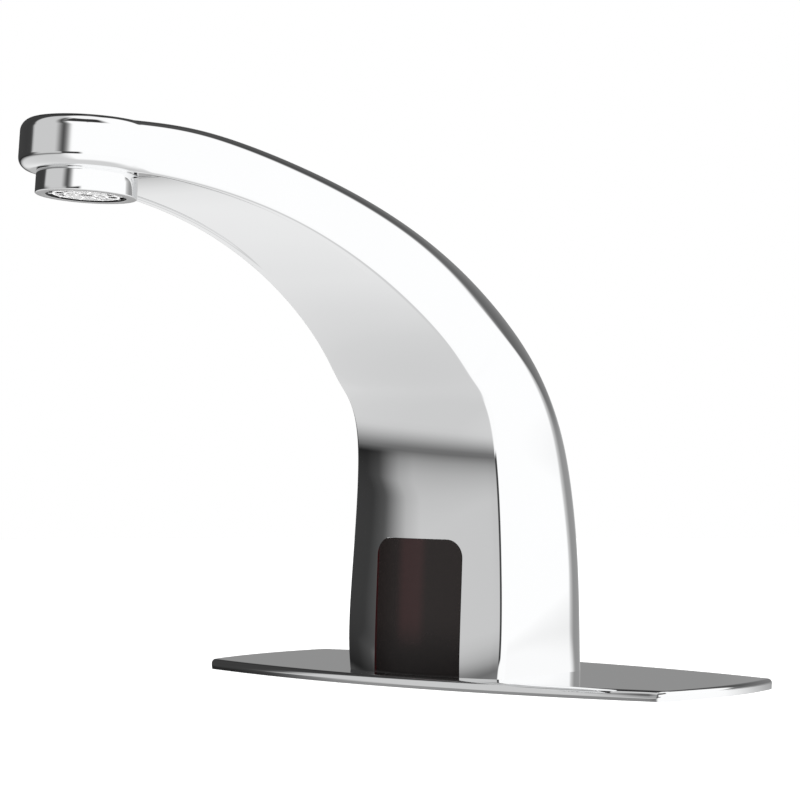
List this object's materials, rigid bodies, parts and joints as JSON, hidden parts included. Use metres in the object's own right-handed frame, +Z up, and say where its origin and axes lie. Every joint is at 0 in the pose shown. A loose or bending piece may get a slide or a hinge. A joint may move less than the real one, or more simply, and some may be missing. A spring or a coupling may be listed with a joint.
{
  "type": "sensor basin tap",
  "caption": "Touch-free basin tap: arched chrome spout on a deck plate, infrared window in its foot, solenoid valve inside, aerated outlet.",
  "frame": {"origin": "mouth of the supply inlet, in the plane of the deck under the middle of the deck plate", "axes": "+Z up out of the deck, -Y towards the user along the spout, X along the deck plate"},
  "size_m": [0.1666, 0.2062, 0.1457],
  "materials": {
    "body_chrome": "polished chrome plate",
    "plate_chrome": "polished chrome plate",
    "smoked_window": "polished smoked infrared window",
    "grille_plastic": "moulded",
    "fine_steel": "bright stainless",
    "black_rubber": "matt",
    "brass": "turned",
    "cast_zinc": "as cast",
    "clear_tube": "extruded",
    "black_plastic": "moulded",
    "green_board": "solder mask",
    "lens_clear": "moulded lens",
    "lens_dark": "moulded lens",
    "lens_red": "moulded lens",
    "white_plastic": "moulded",
    "soft_iron": "plated",
    "copper_wire": "enamelled winding"
  },
  "bodies": {
    "tap": {"spout_body": "body_chrome", "deck_plate": "plate_chrome", "sensor_window": "smoked_window", "aerator_housing": "body_chrome", "aerator_grille": "grille_plastic", "aerator_mesh": "fine_steel", "flow_regulator": "grille_plastic", "aerator_seal": "black_rubber", "outlet_adapter": "brass", "outlet_tube": "clear_tube", "tube_clips": "fine_steel", "deck_gasket": "black_rubber", "base_seal": "black_rubber", "base_bracket": "cast_zinc", "bracket_screws": "fine_steel", "window_gasket": "black_rubber", "sensor_housing": "black_plastic", "sensor_board": "green_board", "board_parts": "black_plastic", "ir_emitter": "lens_clear", "ir_receiver": "lens_dark", "status_led": "lens_red", "sensor_screws": "fine_steel", "power_socket": "black_plastic", "inlet_adapter": "brass", "inlet_filter": "fine_steel", "inlet_seal": "black_rubber", "check_spring": "fine_steel", "valve_body": "white_plastic", "valve_membrane": "black_rubber", "valve_cover": "white_plastic", "valve_screws": "fine_steel", "guide_tube": "fine_steel", "plunger_spring": "fine_steel", "coil_frame": "soft_iron", "coil_bobbin": "white_plastic", "coil_winding": "copper_wire", "latch_magnet": "soft_iron"},
    "plunger": {"plunger": "soft_iron", "plunger_seal": "black_rubber"},
    "diaphragm": {"diaphragm_plate": "grille_plastic"},
    "check_valve": {"check_poppet": "grille_plastic"}
  },
  "joints": [
    {"name": "plunger_lift", "type": "slide", "parent": "tap", "child": "plunger", "axis": [0, 0, 1], "range_m": [0, 0.0012], "stiffness_N_per_m": 100, "springref_m": -0.003, "deforming": ["plunger_spring"]},
    {"name": "diaphragm_lift", "type": "slide", "parent": "tap", "child": "diaphragm", "axis": [0, 0, 1], "range_m": [0, 0.001], "stiffness_N_per_m": 100, "springref_m": -0.002},
    {"name": "check_lift", "type": "slide", "parent": "tap", "child": "check_valve", "axis": [0, 0, 1], "range_m": [0, 0.0015], "stiffness_N_per_m": 100, "springref_m": -0.002, "deforming": ["check_spring"]}
  ]
}
